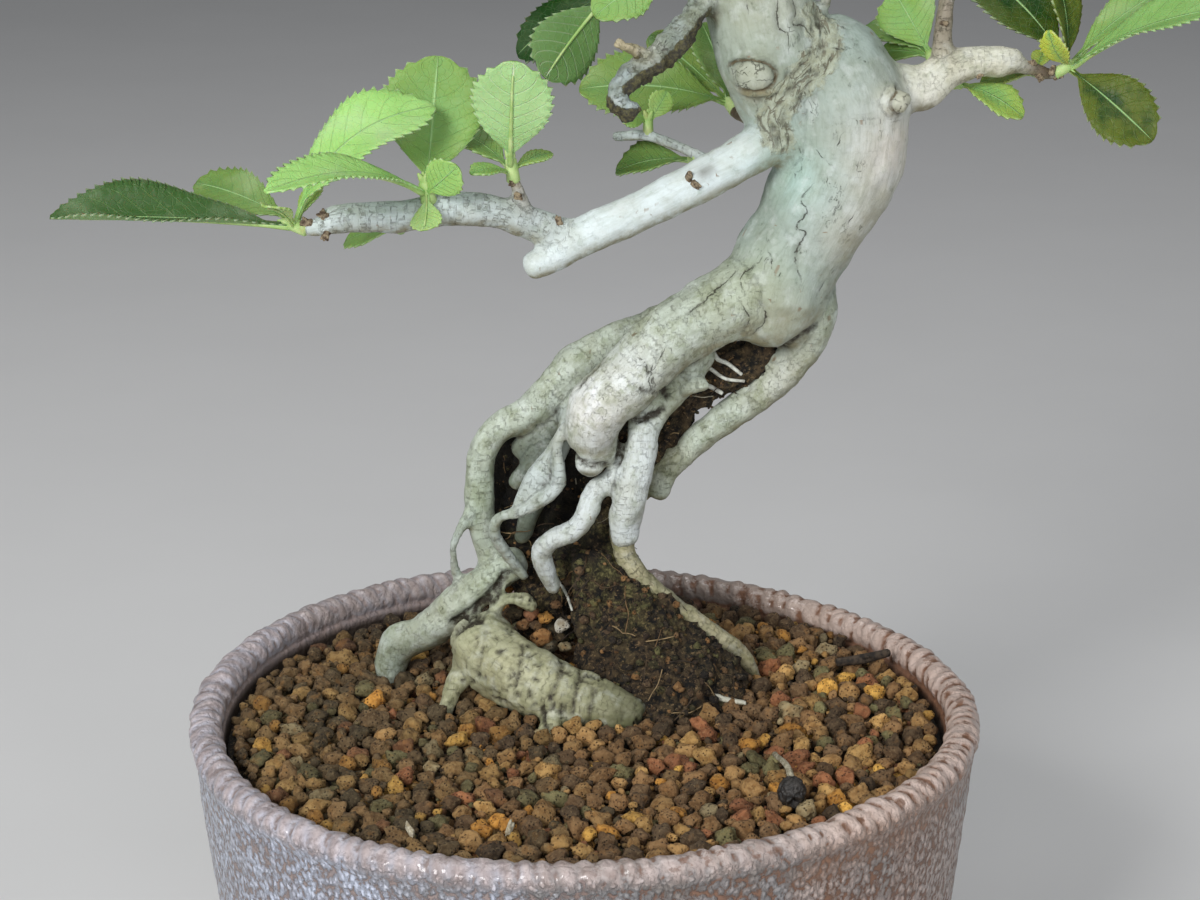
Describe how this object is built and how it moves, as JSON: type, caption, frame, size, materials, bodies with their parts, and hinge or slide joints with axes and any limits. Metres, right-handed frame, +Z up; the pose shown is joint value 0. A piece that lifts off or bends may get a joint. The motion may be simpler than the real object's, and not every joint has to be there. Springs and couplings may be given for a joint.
{
  "type": "potted bonsai tree",
  "caption": "Oriental photinia bonsai: a leaning pale trunk on exposed roots, sparse toothed leaves, in a round beaded stoneware pot of clay grains.",
  "frame": {"origin": "middle of the part's outer box, at the height of the surface that the pot's feet stand on; the pot's axis runs through it to within 2 mm", "axes": "+Z up; -Y towards the viewer, the side from which the picture shows the tree; +X to the viewer's right, where the trunk leans"},
  "size_m": [0.2062, 0.1304, 0.2566],
  "materials": {
    "glaze": "mauve-grey semi-gloss glaze over beaded brown clay",
    "clay_grains": "matt, moist baked-clay grains in browns, ochres and greys",
    "peat": "matt dark peat with fine dead rootlets and moss",
    "bark": "smooth pale grey-green bark with fine cracks",
    "leaf": "soft-gloss upper face, paler green underside with a raised midrib",
    "black_mesh": "matt",
    "dry_fruit": "wrinkled, dull",
    "dead_twig": "rough, dull",
    "pumice": "matt"
  },
  "bodies": {
    "root": {"pot": "glaze", "drain_mesh": "black_mesh", "soil": "clay_grains", "old_root_ball": "peat", "wood": "bark", "dried_fruit": "dry_fruit", "fallen_twig": "dead_twig", "pale_grain": "pumice", "spray_left_tip": "leaf", "spray_left_middle": "leaf", "spray_left_spur": "leaf", "spray_under_left": "leaf", "spray_low_twig": "leaf", "spray_low_twig_tip": "leaf", "spray_back_twig": "leaf", "spray_hanging": "leaf", "spray_hanging_inner": "leaf", "spray_right_tip": "leaf", "spray_right_spur": "leaf", "spray_right_back": "leaf", "spray_right_under": "leaf", "spray_crown_left_tip": "leaf", "spray_crown_left_upper": "leaf", "spray_crown_left_front": "leaf", "spray_crown_right_twig": "leaf", "spray_crown_right": "leaf", "spray_crown_back": "leaf", "spray_crown_front": "leaf", "spray_crown_apex": "leaf", "spray_crown_apex_side": "leaf"}
  },
  "joints": []
}
